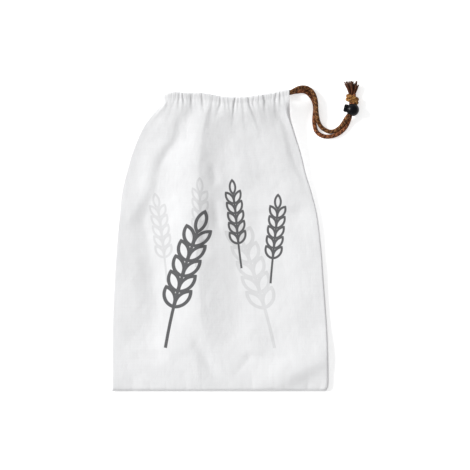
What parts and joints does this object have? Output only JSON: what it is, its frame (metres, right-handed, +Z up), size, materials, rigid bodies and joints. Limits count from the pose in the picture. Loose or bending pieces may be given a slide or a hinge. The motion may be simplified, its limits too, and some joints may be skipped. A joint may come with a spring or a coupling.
{
  "type": "bread bag",
  "caption": "Cotton bread bag lying flat on its back, its mouth gathered by a braided drawstring that runs out to a ball toggle, a knot and frayed ends.",
  "frame": {"origin": "on the surface the bag lies on, under the middle of the bag's own outline without its free drawstring", "axes": "+Y from the bottom edge to the mouth, +X to the side where the drawstring comes out, +Z up from the back panel to the front panel"},
  "size_m": [0.3439, 0.4285, 0.0271],
  "materials": {
    "cotton": "matt plain weave",
    "braid": "matt braid",
    "frayed_braid": "loose fibres",
    "black_plastic": "polished"
  },
  "bodies": {
    "bag": {"front_panel": "cotton", "back_panel": "cotton", "drawstring_run": "braid", "drawstring_leg_a": "braid", "drawstring_leg_b": "braid", "toggle_barrel": "black_plastic", "cord_knot": "braid", "frayed_ends": "frayed_braid"},
    "button": {"toggle_button": "black_plastic"}
  },
  "joints": [
    {"name": "button_press", "type": "slide", "parent": "bag", "child": "button", "axis": [0.9744, -0.225, 0], "range_m": [0, 0.002], "stiffness_N_per_m": 800, "springref_m": -0.002}
  ]
}
